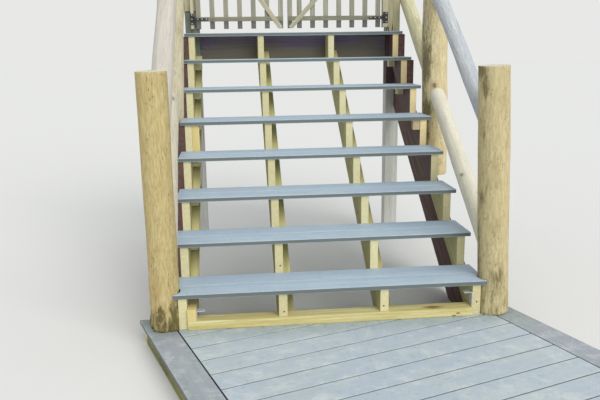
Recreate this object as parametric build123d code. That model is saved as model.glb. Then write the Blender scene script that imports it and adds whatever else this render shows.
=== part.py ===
from build123d import *
import math
import os

# Deck stairs: eight composite treads on sawtooth stringers, log newels and rails on both sides,
# a boarded landing turned to the flight, and a two-leaf picket gate at the head. Millimetres.
# X runs across the stairs, +Y up the flight and +Z up. The origin is on the ground, under the
# middle of the lowest tread's front edge.

# Flight
rise = 190
going = 275
tread_count = 8
tread_length = 1650
board_width = 142
board_thickness = 23
tread_joint = 2
tread_end_overhang = 30

# Landing
landing_angle = 19.4
landing_margin = 218
landing_shift = 32
landing_rows = 9
landing_joint = 6
first_joint = 27
landing_back = 170
landing_setback = 18
joist_width = 45
joist_depth = 90
joist_bays = 3

# Pine carriage
pine_width = 45
stringer_left_x = -258
stringer_right_x = 275
stringer_drop = 320
stringer_right_drop = 275
stringer_head = 2110
batten_depth = 55
kicker_depth = 90
kicker_height = 45
kicker_front = -6
cleat_height = 50
cleat_setback = 130
cleat_setback_right = 200
cleat_end = 268
packer_gap = 4
packer_height_left = 190
packer_height_right = 65
foot_block_height = 65
bracket_thickness = 3
bracket_flange = 45
bracket_width = 40
bracket_drop = 15

# Old side stringers
side_thickness = 50
side_top_drop = 315
side_bottom_drop = 680
side_front = 190
side_left_seat = 1
side_right_seat = 7

# Newels, with the offsets of their feet from the carriage's sides
newel_left_offset = 69
newel_right_offset = 91
newel_y = 66
newel_height = 1308
newel_left_radius = 76
newel_right_radius = 80
newel_swelling = 8
newel_swelling_shift = 4
newel_swelling_height = 190
newel_left_lean = -3
newel_right_lean = -37
newel_back_lean = 12
newel_clearance = 4

# Mid posts, with the offsets of their feet and their leans over a metre
mid_left_offset = 129
mid_right_offset = 138
mid_y = 1378
mid_radius = 87
mid_foot = 515
mid_height = 1535
mid_left_lean = 49
mid_right_lean = -17
mid_clearance = 2

# Rails, with offsets from the carriage's sides and heights over the line through the nosings
handrail_left_radius = 58
handrail_left_foot_offset = 60
handrail_left_head_offset = 78
handrail_right_radius = 46
handrail_right_foot_offset = 45
handrail_right_head_offset = 87
handrail_foot_height = 724
handrail_head_height = 752
rail_end = 20
lower_rail_radius = 50
lower_left_foot_offset = 47
lower_left_foot_height = 95
lower_left_head_offset = 92
lower_left_head_height = 24
lower_right_foot_offset = 64
lower_right_foot_height = 95
lower_right_head_offset = 114
lower_right_head_height = 12
upper_rail_radius = 52
upper_rail_housing = 3
upper_left_foot_offset = 106
upper_left_foot_height = 71
upper_left_head_height = 71
upper_right_foot_offset = 127
upper_right_foot_height = 2
upper_right_head_height = 145

# Head of the flight
post_size = 105
post_front = 2070
post_left_inset = 26
post_right_inset = 11
post_height = 1100
head_joist_depth = 190
head_board_gap = 2

# Gate
gate_bottom = 33
gate_height = 935
gate_rail_height = 33
gate_rail_thickness = 18
gate_tail = 55
picket_width = 36
picket_thickness = 16
picket_count = 7
gate_post_gap = 6
leaf_gap = 34
left_leaf_end = -78
right_stile_gap = 73
left_hinge_inset = 30.5
right_hinge_inset = 45.5
leaf_hinge_gap = 10
left_brace_head = 865
right_brace_head = 735
left_strip_width = 22
right_strip_overlap = 20

# Gate hinges
strap_length = 100
strap_height = 20
strap_tip = 12
hinge_thickness = 3
plate_height = 84
barrel_radius = 6
pin_radius = 2.7
pin_clearance = 0.3
plate_clearance = 7

# Sizes worked out from the values above
slope = rise / going
tread_depth = 2 * board_width + tread_joint
nosing_overhang = tread_depth - going
landing_top = joist_depth + board_thickness
outer_face = tread_length / 2 - tread_end_overhang
outer_x = outer_face - pine_width / 2
landing_width = tread_length + landing_margin
landing_pitch = board_width + landing_joint
newel_left_x = -outer_face - newel_left_offset
newel_right_x = outer_face + newel_right_offset
post_left_x = -outer_face + post_left_inset
post_right_x = outer_face - post_right_inset
mid_left_x = -outer_face - mid_left_offset
mid_right_x = outer_face + mid_right_offset
upper_left_head_offset = post_size / 2 - post_left_inset + upper_rail_radius - upper_rail_housing
upper_right_head_offset = post_size / 2 - post_right_inset + upper_rail_radius - upper_rail_housing
handrail_end = post_front + post_size + rail_end
packed_tread = tread_count - 3
short_cleats = (tread_count - 2, tread_count - 1)
head_top = landing_top + rise * tread_count


def nosing_z(y):
    """Height of the line through the treads' front edges."""
    return landing_top + rise + slope * y


def seat_z(step):
    """Height of the stringers' seat under a tread."""
    return landing_top + rise * step - board_thickness


def riser_y(step):
    """Front of the stringers under a tread's nosing."""
    return nosing_overhang + going * (step - 1)


def bar(x_range, y_range, z_range):
    """Upright block between the given coordinates."""
    size = [high - low for low, high in (x_range, y_range, z_range)]
    middle = [(low + high) / 2 for low, high in (x_range, y_range, z_range)]
    return Pos(*middle) * Box(*size)


def plank(outline, x_left, thickness):
    """Plank standing across X, cut to an outline given in Y and Z."""
    face = make_face(Polyline(*outline, close=True))
    return extrude(Plane.YZ.offset(x_left) * face, amount=thickness)


def log(foot, head, foot_radius, head_radius, rounded=False):
    """Round log between two points, cut square at both ends or with a rounded head."""
    line = Vector(*head) - Vector(*foot)
    length = line.length
    sides = Polyline((0, 0), (foot_radius, 0), (head_radius, length))
    if rounded:
        tip = CenterArc((0, length), head_radius, 0, 90)
        outline = sides + tip + Line((0, length + head_radius), (0, 0))
    else:
        outline = sides + Polyline((head_radius, length), (0, length), (0, 0))
    upright = Rot(90, 0, 0) * revolve(make_face(outline), axis=Axis.Y)
    return Plane(origin=foot, z_dir=line) * upright


def only(shape):
    """The largest solid of a cut shape."""
    return max(shape.solids(), key=lambda solid: solid.volume)


def group(solids):
    return Compound(children=list(solids))


def newel_at(foot_x, lean, height):
    """A newel's heart, at a height over the landing."""
    x = foot_x + lean * height / 1000
    return (x, newel_y + newel_back_lean * height / 1000, landing_top + height)


def newel(side, foot_x, lean, radius):
    """Leaning log, cut level, whose foot swells towards the front and the stringer."""
    x, y, z = newel_at(foot_x, lean, -radius)
    swelling_foot = (x - side * newel_swelling, y - newel_swelling_shift, z)
    swelling_top = newel_at(foot_x, lean, newel_swelling_height)
    shaft = log((x, y, z), newel_at(foot_x, lean, newel_height + radius), radius, radius)
    swelling = log(swelling_foot, swelling_top, radius + newel_swelling, radius)
    level_cuts = (landing_top, landing_top + newel_height)
    return (shaft + swelling) & bar((-reach, reach), (-reach, reach), level_cuts)


def mid_log(foot_x, lean, radius):
    """Log of a mid post, before it is housed over what it is fixed to."""
    foot = (foot_x, mid_y, landing_top + mid_foot)
    head = (foot_x + lean * mid_height / 1000, mid_y, landing_top + mid_foot + mid_height)
    return log(foot, head, radius, radius)


def tread(step, notches):
    """One tread of two boards, cut round whatever stands at its ends."""
    front = going * (step - 1)
    top = landing_top + rise * step
    boards = []
    for row in range(2):
        board_front = front + row * (board_width + tread_joint)
        x_range = (-tread_length / 2, tread_length / 2)
        if step == tread_count and row == 1:
            x_range = (post_inner[0] + head_board_gap, post_inner[1] - head_board_gap)
        board = bar(x_range, (board_front, board_front + board_width), (top - board_thickness, top))
        for notch in notches:
            board = board - notch
        boards.append(only(board))
    return group(boards)


def stringer(centre, head, drop, on_kicker):
    """Sawtooth stringer with a seat for each tread, notched over the kicker plate if it meets it."""
    outline = [(nosing_overhang, landing_top)]
    for step in range(1, tread_count + 1):
        seat_end = head if step == tread_count else riser_y(step + 1)
        outline += [(riser_y(step), seat_z(step)), (seat_end, seat_z(step))]
    outline.append((head, nosing_z(head) - drop))
    outline.append(((drop - rise) / slope, landing_top))
    board = plank(outline, centre - pine_width / 2, pine_width)
    if on_kicker:
        board = board - kicker
    return only(board)


def raking_batten(x_left, head):
    """Batten along the lower edge of a stringer's side."""
    top_drop = stringer_drop - batten_depth
    foot_back = (stringer_drop - rise) / slope
    foot_front = (top_drop - rise) / slope
    outline = [(foot_back, landing_top), (foot_front, landing_top)]
    outline += [(head, nosing_z(head) - top_drop), (head, nosing_z(head) - stringer_drop)]
    return plank(outline, x_left, pine_width)


def side_stringer(x_left, first_seat):
    """Old deep stringer, cut plumb at the newel, with seats from one tread up and straight below them."""
    outline = [(side_front, 0)]
    if riser_y(first_seat) > side_front:
        outline.append((side_front, nosing_z(side_front) - side_top_drop))
        outline.append((riser_y(first_seat), nosing_z(riser_y(first_seat)) - side_top_drop))
    for step in range(first_seat, tread_count + 1):
        seat_end = post_front if step == tread_count else riser_y(step + 1)
        outline += [(max(side_front, riser_y(step)), seat_z(step)), (seat_end, seat_z(step))]
    outline.append((post_front, nosing_z(post_front) - side_bottom_drop))
    outline.append(((side_bottom_drop - rise - landing_top) / slope, 0))
    return plank(outline, x_left, side_thickness)


def under_tread(step, x_left, y_range, height):
    """Block fixed to a stringer's side, right under a tread."""
    front = going * (step - 1)
    y_ends = (front + y_range[0], front + y_range[1])
    return bar((x_left, x_left + pine_width), y_ends, (seat_z(step) - height, seat_z(step)))


def foot_bracket(x_face, side, top):
    """Angle bracket with its upright flange on a vertical face and its other flange on top."""
    front = nosing_overhang
    y_range = (front, front + bracket_width)
    upright_x = sorted((x_face, x_face + side * bracket_thickness))
    flange_x = sorted((x_face, x_face + side * bracket_flange))
    upright = bar(upright_x, y_range, (kicker_top, top))
    flange = bar(flange_x, y_range, (top - bracket_thickness, top))
    return only(upright + flange)


# Landing: turned boards on a joist frame, cut off parallel to the stairs behind the newels
turn = Rot(0, 0, landing_angle)
landing_left = landing_shift - landing_width / 2
landing_right = landing_shift + landing_width / 2
border_inner_left = landing_left + board_width + landing_joint
border_inner_right = landing_right - board_width - landing_joint
infill_front = first_joint - landing_rows * landing_pitch
landing_front = infill_front - landing_joint / 2 - board_width
reach = landing_width
behind_landing = bar((-2 * reach, 2 * reach), (landing_back, landing_back + 2 * reach), (-reach, reach))
rim_back = (landing_back - landing_setback - joist_width, landing_back - landing_setback)
behind_joists = bar((-2 * reach, 2 * reach), (rim_back[0], rim_back[0] + 2 * reach), (-reach, reach))


def landing_board(x_range, y_range):
    board = turn * bar(x_range, y_range, (joist_depth, landing_top))
    return only(board - behind_landing)


def landing_infill():
    """Boards across the landing; the rows at the back end on the cut."""
    boards = []
    back_corner = landing_back - border_inner_left * math.sin(math.radians(landing_angle))
    last_row = back_corner / math.cos(math.radians(landing_angle))
    row_back = first_joint - landing_joint / 2
    while row_back < last_row:
        row_back += landing_pitch
    row_front = row_back - board_width
    while row_front > infill_front:
        row = (row_front, row_front + board_width)
        boards.append(landing_board((border_inner_left, border_inner_right), row))
        row_front -= landing_pitch
    return group(boards)


def landing_joists():
    """Joists along the landing, the outer two a little inside its edges and one under the origin."""
    outer_left = landing_left + landing_setback + joist_width / 2
    outer_right = landing_right - landing_setback - joist_width / 2
    front = landing_front + landing_setback + joist_width
    left_centres = [outer_left * bay / joist_bays for bay in range(joist_bays, 0, -1)]
    right_centres = [outer_right * bay / joist_bays for bay in range(1, joist_bays + 1)]
    joists = []
    for centre in left_centres + [0] + right_centres:
        x_range = (centre - joist_width / 2, centre + joist_width / 2)
        joist = turn * bar(x_range, (front, reach), (0, joist_depth))
        joists.append(only(joist - behind_joists))
    return group(joists)


def landing_rims():
    """Front rim square to the joists and back rim along the cut."""
    front = landing_front + landing_setback
    x_range = (landing_left + landing_setback, landing_right - landing_setback)
    front_rim = turn * bar(x_range, (front, front + joist_width), (0, joist_depth))
    inside = turn * bar(x_range, (front, 2 * reach), (0, joist_depth))
    back_rim = bar((-reach, reach), rim_back, (0, joist_depth)) & inside
    return group([front_rim, only(back_rim)])


parts = {}
left_row = (landing_left, landing_left + board_width)
right_row = (landing_right - board_width, landing_right)
parts["landing_border_left"] = landing_board(left_row, (landing_front, reach))
parts["landing_border_right"] = landing_board(right_row, (landing_front, reach))
front_row = (landing_front, landing_front + board_width)
parts["landing_border_front"] = landing_board((border_inner_left, border_inner_right), front_row)
parts["landing_boards"] = landing_infill()
parts["landing_joists"] = landing_joists()
parts["landing_rims"] = landing_rims()

# Gate posts and the joist between them carry the head of the flight
post_inner = (post_left_x + post_size / 2, post_right_x - post_size / 2)
post_outer = (post_left_x - post_size / 2, post_right_x + post_size / 2)
post_y = (post_front, post_front + post_size)
post_z = (0, head_top + post_height)
gate_post_left = bar((post_outer[0], post_inner[0]), post_y, post_z)
gate_post_right = bar((post_inner[1], post_outer[1]), post_y, post_z)
parts["gate_post_left"] = gate_post_left
parts["gate_post_right"] = gate_post_right
head_seat = head_top - board_thickness
head_joist_y = (stringer_head, stringer_head + pine_width)
parts["head_joist"] = bar(post_inner, head_joist_y, (head_seat - head_joist_depth, head_seat))

# Carriage
kicker_half = outer_x - pine_width / 2
kicker_back = kicker_front + kicker_depth
kicker_top = landing_top + kicker_height
kicker = bar((-kicker_half, kicker_half), (kicker_front, kicker_back), (landing_top, kicker_top))
parts["kicker_plate"] = kicker
parts["stringer_1"] = stringer(-outer_x, post_front, stringer_drop, False)
parts["stringer_2"] = stringer(stringer_left_x, stringer_head, stringer_drop, True)
parts["stringer_3"] = stringer(stringer_right_x, stringer_head, stringer_drop, True)
parts["stringer_4"] = stringer(outer_x, post_front, stringer_right_drop, False)
batten_left = [centre + pine_width / 2 for centre in (-outer_x, stringer_left_x, stringer_right_x)]
batten_heads = (post_front, stringer_head, stringer_head)
parts["raking_battens"] = group(raking_batten(x, head) for x, head in zip(batten_left, batten_heads))
parts["side_stringer_left"] = side_stringer(-outer_face - side_thickness, side_left_seat)
parts["side_stringer_right"] = side_stringer(outer_face, side_right_seat)

# Cleats, packers and blocks on the inner sides of the outer stringers
left_side = -kicker_half
right_side = kicker_half - pine_width
cleat_y = (cleat_setback, cleat_end)
short_cleat_y = (cleat_setback_right, cleat_end)
cleats_left = [under_tread(step, left_side, cleat_y, cleat_height) for step in range(2, tread_count)]
cleats_right = [under_tread(step, right_side, short_cleat_y, cleat_height) for step in short_cleats]
packer_y = (nosing_overhang + packer_gap, nosing_overhang + packer_gap + pine_width)
parts["tread_cleats"] = group(cleats_left + cleats_right)
foot_block_z = (kicker_top, kicker_top + foot_block_height)
foot_block = bar((left_side, left_side + pine_width), (kicker_front, kicker_back), foot_block_z)
packer_left = under_tread(packed_tread, left_side, packer_y, packer_height_left)
packer_right = under_tread(packed_tread, right_side, packer_y, packer_height_right)
parts["packer_blocks"] = group([foot_block, packer_left, packer_right])
bracket_left = foot_bracket(left_side + pine_width, 1, foot_block_z[1] - bracket_drop)
bracket_right = foot_bracket(kicker_half, -1, foot_block_z[1] + bracket_drop)
parts["foot_brackets"] = group([bracket_left, bracket_right])

# Newels stand on the landing, flattened where they are bolted to the outer stringers
newel_left = only(newel(-1, newel_left_x, newel_left_lean, newel_left_radius) - parts["stringer_1"])
newel_right = only(newel(1, newel_right_x, newel_right_lean, newel_right_radius) - parts["stringer_4"])
parts["newel_left"] = newel_left
parts["newel_right"] = newel_right


def newel_notch(foot_x, lean, radius):
    """Clearance round a newel, through the lowest tread."""
    middle = newel_at(foot_x, lean, rise - board_thickness / 2)
    return Pos(*middle) * Cylinder(radius + newel_clearance, 2 * board_thickness)


# Treads: the lowest is notched round the newels, the others round the mid posts that they meet
notch_radius = mid_radius + mid_clearance
newel_notches = [newel_notch(newel_left_x, newel_left_lean, newel_left_radius)]
newel_notches.append(newel_notch(newel_right_x, newel_right_lean, newel_right_radius))
mid_notches = [mid_log(mid_left_x, mid_left_lean, notch_radius)]
mid_notches.append(mid_log(mid_right_x, mid_right_lean, notch_radius))
for step in range(1, tread_count + 1):
    parts[f"tread_{step}"] = tread(step, newel_notches if step == 1 else mid_notches)


def rail(side, foot, head, y_ends, radius, rounded=False):
    """Log rail on one side; each end is an offset from the carriage and a height over the nosing line."""
    foot_point = (side * (outer_face + foot[0]), y_ends[0], nosing_z(y_ends[0]) + foot[1])
    head_point = (side * (outer_face + head[0]), y_ends[1], nosing_z(y_ends[1]) + head[1])
    return log(foot_point, head_point, radius, radius, rounded)


handrail_y = (newel_y, handrail_end)
lower_rail_y = (newel_y, mid_y - mid_radius - lower_rail_radius / 2)
upper_rail_y = (mid_y + mid_radius / 2, handrail_end)
sides = {
    "left": {
        "side": -1,
        "newel": newel_left,
        "gate_post": gate_post_left,
        "mid_log": mid_log(mid_left_x, mid_left_lean, mid_radius),
        "handrail_radius": handrail_left_radius,
        "handrail_foot": (handrail_left_foot_offset, handrail_foot_height),
        "handrail_head": (handrail_left_head_offset, handrail_head_height),
        "lower_foot": (lower_left_foot_offset, lower_left_foot_height),
        "lower_head": (lower_left_head_offset, lower_left_head_height),
        "upper_foot": (upper_left_foot_offset, upper_left_foot_height),
        "upper_head": (upper_left_head_offset, upper_left_head_height),
    },
    "right": {
        "side": 1,
        "newel": newel_right,
        "gate_post": gate_post_right,
        "mid_log": mid_log(mid_right_x, mid_right_lean, mid_radius),
        "handrail_radius": handrail_right_radius,
        "handrail_foot": (handrail_right_foot_offset, handrail_foot_height),
        "handrail_head": (handrail_right_head_offset, handrail_head_height),
        "lower_foot": (lower_right_foot_offset, lower_right_foot_height),
        "lower_head": (lower_right_head_offset, lower_right_head_height),
        "upper_foot": (upper_right_foot_offset, upper_right_foot_height),
        "upper_head": (upper_right_head_offset, upper_right_head_height),
    },
}
for name, at in sides.items():
    whole = rail(at["side"], at["handrail_foot"], at["handrail_head"], handrail_y, at["handrail_radius"])
    parts[f"handrail_{name}"] = only(whole - at["newel"] - at["gate_post"])

    # The mid post hangs on the side stringer, housed over it and over the handrail
    mid_post = only(at["mid_log"] - parts[f"side_stringer_{name}"] - whole)
    parts[f"mid_post_{name}"] = mid_post

    # The lower rail's rounded head seats on the mid post; the upper rail ends on the gate post's side
    lower = rail(at["side"], at["lower_foot"], at["lower_head"], lower_rail_y, lower_rail_radius, True)
    upper = rail(at["side"], at["upper_foot"], at["upper_head"], upper_rail_y, upper_rail_radius)
    parts[f"lower_rail_{name}"] = only(lower - at["newel"] - mid_post)
    parts[f"upper_rail_{name}"] = only(upper - mid_post - at["gate_post"])

# Gate: each leaf is pickets behind two rails and a brace, hung on strips beside the posts
left_hinge_x = post_inner[0] - left_hinge_inset
right_hinge_x = post_inner[1] - right_hinge_inset
leaf_back = post_front - gate_post_gap
rail_back = leaf_back - picket_thickness
rail_front = rail_back - gate_rail_thickness
tail_z = head_top + gate_bottom
rail_low = tail_z + gate_tail
picket_top = tail_z + gate_height
rail_high = picket_top - gate_tail - gate_rail_height
left_leaf_x = (left_hinge_x + leaf_hinge_gap, left_leaf_end)
right_leaf_x = (left_leaf_end + leaf_gap, right_hinge_x - leaf_hinge_gap)


def gate_brace(start, end):
    """Brace between two points in X and Z, in the rails' plane."""
    run = Vector(end[0] - start[0], end[1] - start[1])
    middle = Pos((start[0] + end[0]) / 2, (rail_front + rail_back) / 2, (start[1] + end[1]) / 2)
    tilt = Rot(0, -math.degrees(math.atan2(run.Y, run.X)), 0)
    return middle * tilt * Box(run.length, gate_rail_thickness, gate_rail_height)


def gate_leaf(x_range, centres, brace_start, brace_end):
    """Leaf with its pickets, rails and brace joined where they cross."""
    rails_y = (rail_front, rail_back)
    leaf = bar(x_range, rails_y, (rail_low, rail_low + gate_rail_height))
    leaf += bar(x_range, rails_y, (rail_high, rail_high + gate_rail_height))
    leaf += gate_brace(brace_start, brace_end) & bar(x_range, rails_y, (tail_z, picket_top))
    for centre in centres:
        picket_x = (centre - picket_width / 2, centre + picket_width / 2)
        leaf += bar(picket_x, (rail_back, leaf_back), (tail_z, picket_top))
    return only(leaf)


def evenly(first, last, count):
    return [first + (last - first) * index / (count - 1) for index in range(count)]


half_picket = picket_width / 2
left_pickets = evenly(left_leaf_x[0] + half_picket, left_leaf_x[1] - half_picket, picket_count)
right_stile = right_leaf_x[0] + half_picket
right_pickets = evenly(right_stile + right_stile_gap, right_leaf_x[1] - half_picket, picket_count)
right_pickets.insert(0, right_stile)
left_brace = ((left_pickets[-1], tail_z), (left_pickets[0], tail_z + left_brace_head))
right_brace = ((right_stile, tail_z), (right_pickets[-1], tail_z + right_brace_head))
parts["gate_left_leaf"] = gate_leaf(left_leaf_x, left_pickets, *left_brace)
parts["gate_right_leaf"] = gate_leaf(right_leaf_x, right_pickets, *right_brace)

# Strips on the posts, which carry the hinge plates in the plane of the gate's rails
left_strip_end = left_hinge_x - plate_clearance
left_strip_x = (left_strip_end - left_strip_width, left_strip_end)
right_strip_x = (right_hinge_x + plate_clearance, post_inner[1])
left_strip = bar(left_strip_x, (rail_front, post_front), (tail_z, picket_top))
right_strip = bar(right_strip_x, (rail_front, post_front + right_strip_overlap), (tail_z, picket_top))
parts["gate_strips"] = group([left_strip, right_strip])

# Hinges: a strap on each rail turns on a pin held by the plate's two knuckles
hinge_y = rail_front - barrel_radius
hinge_levels = (rail_low + gate_rail_height / 2, rail_high + gate_rail_height / 2)
strap_y = (rail_front - hinge_thickness, rail_front)
knuckle_height = strap_height / 2


def strap(hinge_x, side, level):
    """Tapered strap with its barrel round the pin."""
    half, tip = strap_height / 2, strap_tip / 2
    outline = [(0, half), (strap_length, tip), (strap_length, -tip), (0, -half)]
    points = [(hinge_x + side * x, level + z) for x, z in outline]
    face = make_face(Polyline(*points, close=True))
    flat = extrude(Plane.XZ.offset(-strap_y[0]) * face, amount=-hinge_thickness)
    barrel = Pos(hinge_x, hinge_y, level) * Cylinder(barrel_radius, strap_height)
    bore = Pos(hinge_x, hinge_y, level) * Cylinder(pin_radius + pin_clearance, 2 * strap_height)
    return only(flat + barrel - bore)


def hinge_plate(hinge_x, side, level, strip_x):
    """Plate on the strip, with a knuckle over and under the strap's barrel and the pin through them."""
    plate = bar(strip_x, strap_y, (level - plate_height / 2, level + plate_height / 2))
    tab_x = sorted((hinge_x, hinge_x - side * plate_clearance))
    offset = strap_height / 2 + pin_clearance + knuckle_height / 2
    for direction in (-1, 1):
        middle = level + direction * offset
        plate += bar(tab_x, strap_y, (middle - knuckle_height / 2, middle + knuckle_height / 2))
        plate += Pos(hinge_x, hinge_y, middle) * Cylinder(barrel_radius, knuckle_height)
    plate += Pos(hinge_x, hinge_y, level) * Cylinder(pin_radius, 2 * offset)
    return only(plate)


leaves = {"left": (left_hinge_x, 1, left_strip_x), "right": (right_hinge_x, -1, right_strip_x)}
for name, (hinge_x, side, strip_x) in leaves.items():
    straps = [strap(hinge_x, side, level) for level in hinge_levels]
    plates = [hinge_plate(hinge_x, side, level, strip_x) for level in hinge_levels]
    parts[f"gate_{name}_straps"] = group(straps)
    parts[f"gate_{name}_plates"] = group(plates)

os.makedirs("parts", exist_ok=True)
for node, shape in parts.items():
    export_step(shape, f"parts/{node}.step")
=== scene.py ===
import math
import random

import bmesh
import bpy
from mathutils import Matrix, Vector, noise


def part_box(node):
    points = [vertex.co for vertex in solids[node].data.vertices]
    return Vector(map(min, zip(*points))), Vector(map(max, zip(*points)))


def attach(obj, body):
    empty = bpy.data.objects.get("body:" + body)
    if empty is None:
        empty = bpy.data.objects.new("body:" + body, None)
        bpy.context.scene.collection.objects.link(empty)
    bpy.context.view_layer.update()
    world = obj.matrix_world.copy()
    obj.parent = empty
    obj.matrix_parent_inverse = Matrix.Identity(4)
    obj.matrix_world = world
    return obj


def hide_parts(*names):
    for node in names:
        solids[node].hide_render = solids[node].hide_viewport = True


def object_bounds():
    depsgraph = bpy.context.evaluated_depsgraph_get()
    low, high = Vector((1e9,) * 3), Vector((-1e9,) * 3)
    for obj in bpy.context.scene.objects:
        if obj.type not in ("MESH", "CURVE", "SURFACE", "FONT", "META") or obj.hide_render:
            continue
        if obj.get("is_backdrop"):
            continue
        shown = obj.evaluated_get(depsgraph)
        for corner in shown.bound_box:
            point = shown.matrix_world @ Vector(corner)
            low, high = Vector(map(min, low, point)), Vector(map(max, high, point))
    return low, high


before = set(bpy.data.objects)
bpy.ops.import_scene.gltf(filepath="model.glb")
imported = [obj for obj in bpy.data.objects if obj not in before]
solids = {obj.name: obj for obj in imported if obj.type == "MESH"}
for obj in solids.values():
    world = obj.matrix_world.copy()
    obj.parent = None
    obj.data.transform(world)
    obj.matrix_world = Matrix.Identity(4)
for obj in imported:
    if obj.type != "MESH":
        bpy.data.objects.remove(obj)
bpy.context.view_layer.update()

# Landing frame
# Sawn treated pine joists laid on the ground, with one rim nailed across their front ends and
# another along the skewed back. The treatment leaves the wood yellow-green, and saw marks cross it.
landing_turn = math.radians(19.4)
along_landing = Vector((-math.sin(landing_turn), math.cos(landing_turn), 0))
across_landing = Vector((math.cos(landing_turn), math.sin(landing_turn), 0))
level_across, level_back, upright = Vector((1, 0, 0)), Vector((0, 1, 0)), Vector((0, 0, 1))
sawn_arris, square_on, merge_gap = 0.0015, 0.9, 0.00002
pine_pale, pine_deep, pine_green = (208, 201, 150), (184, 174, 116), (176, 172, 112)
pine_sawn, pine_sawn_deep, pine_sawn_stain = (218, 209, 170), (198, 187, 140), (208, 199, 154)


def shade(colour):
    """A colour given as 0 to 255, turned into the light that the renderer counts in."""
    parts = [part / 255 for part in colour]
    return tuple(((part + 0.055) / 1.055) ** 2.4 for part in parts) + (1.0,)


def add(tree, kind, inputs, **settings):
    """One shader node. An input is a plain value, or another node's output that is wired to it."""
    made = tree.nodes.new("ShaderNode" + kind)
    for key, value in settings.items():
        setattr(made, key, value)
    for key, value in inputs.items():
        if isinstance(value, bpy.types.NodeSocket):
            tree.links.new(value, made.inputs[key])
        else:
            made.inputs[key].default_value = value
    return made


def vector(tree, operation, *parts):
    """A sum on places, whose outcome is a place too, apart from a length."""
    made = add(tree, "VectorMath", dict(enumerate(parts)), operation=operation)
    return made.outputs["Value" if operation == "LENGTH" else 0]


def stretch(tree, place, scale):
    return vector(tree, "MULTIPLY", place, scale)


def cloud(tree, place, scale, detail, roughness=0.5, output="Fac"):
    """Soft noise, finer along each axis as its scale grows."""
    inputs = {"Vector": stretch(tree, place, scale), "Scale": 1.0, "Detail": detail, "Roughness": roughness}
    return add(tree, "TexNoise", inputs).outputs[output]


def level(tree, value, low, high, to_low=0.0, to_high=1.0):
    """The value's range from low to high, spread out and cut off at both ends."""
    inputs = {0: value, 1: low, 2: high, 3: to_low, 4: to_high}
    return add(tree, "MapRange", inputs, interpolation_type="SMOOTHSTEP").outputs[0]


def count(tree, operation, first, second=0.0, third=0.0):
    return add(tree, "Math", {0: first, 1: second, 2: third}, operation=operation).outputs[0]


def mix(tree, share, first, second):
    """The first colour, giving way to the second as the share goes from 0 to 1."""
    inputs = {0: share}
    for key, colour in ((6, first), (7, second)):
        inputs[key] = colour if isinstance(colour, bpy.types.NodeSocket) else shade(colour)
    return add(tree, "Mix", inputs, data_type="RGBA").outputs[2]


def over(tree, colour, value, low, high, share, top):
    """Lays a second colour over the first as the value goes from low to high, up to a share."""
    return mix(tree, level(tree, value, low, high, 0.0, share), colour, top)


def surface(name, specular=0.3, metallic=0.0):
    """An empty material with its shader, which the patterns are then wired to."""
    material = bpy.data.materials.new(name)
    material.use_nodes = True
    tree = material.node_tree
    shader = tree.nodes["Principled BSDF"]
    shader.inputs["Specular IOR Level"].default_value = specular
    shader.inputs["Metallic"].default_value = metallic
    return material, tree, shader


def wire(tree, shader, colour, roughness, height, relief):
    """Wires a finished pattern to the shader, with its relief in metres."""
    bump = add(tree, "Bump", {"Strength": 1.0, "Distance": relief, "Height": height})
    tree.links.new(colour, shader.inputs["Base Color"])
    tree.links.new(roughness, shader.inputs["Roughness"])
    tree.links.new(bump.outputs[0], shader.inputs["Normal"])


def mark(tree, name, output="Fac"):
    return add(tree, "Attribute", {}, attribute_name=name).outputs[output]


def tint(colour, share):
    """The same colour made darker, or lighter up to white."""
    return tuple(min(255, share * part) for part in colour)


def rings_of(tree, run, gap, bend, bend_size):
    """Growth rings round the heart of a log, a gap apart in metres."""
    inputs = {"Vector": run, "Scale": 0.314 / gap, "Distortion": bend, "Detail": 2.0}
    inputs["Detail Scale"] = bend_size
    return add(tree, "TexWave", inputs, wave_type="RINGS", rings_direction="X").outputs["Fac"]


def wandering_grain(tree, wander=0.014):
    """Place along and across each board, bent a little so that no streak runs dead straight."""
    grain = mark(tree, "grain", "Vector")
    bend = cloud(tree, grain, (1.5, 8, 8), 2, 0.5, "Color")
    return vector(tree, "MULTIPLY_ADD", bend, (0.08, wander, wander), grain)


def round_knots(tree, run):
    """Distance from the nearest knot, in knots, and the grain's place led round it."""
    spacing, size = (0.42, 0.13, 0.13), 0.011
    spread = stretch(tree, run, tuple(1 / part for part in spacing))
    cell = add(tree, "TexVoronoi", {"Vector": spread, "Scale": 1.0}).outputs["Position"]
    off = vector(tree, "SUBTRACT", run, stretch(tree, cell, spacing))
    away = vector(tree, "LENGTH", stretch(tree, off, (0.8, 1, 1)))
    away = count(tree, "DIVIDE", away, size)
    pull = level(tree, away, 4.5, 0.3, 0.0, -0.85)
    shift = add(tree, "CombineXYZ", {1: pull, 2: pull}).outputs[0]
    return away, vector(tree, "MULTIPLY_ADD", off, shift, run)


def knot_marks(tree, colour, away, deep, strength):
    """A knot's brown body, its dark rim and the stain that spreads along the grain from it."""
    colour = over(tree, colour, away, 2.6, 1.0, 0.35 * strength, tint(deep, 0.8))
    colour = over(tree, colour, away, 1.05, 0.8, 0.8 * strength, tint(deep, 0.62))
    rim = count(tree, "ABSOLUTE", count(tree, "SUBTRACT", away, 0.88))
    colour = over(tree, colour, rim, 0.16, 0.04, 0.7 * strength, tint(deep, 0.35))
    return over(tree, colour, away, 0.34, 0.12, 0.6 * strength, tint(deep, 0.4))


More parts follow.
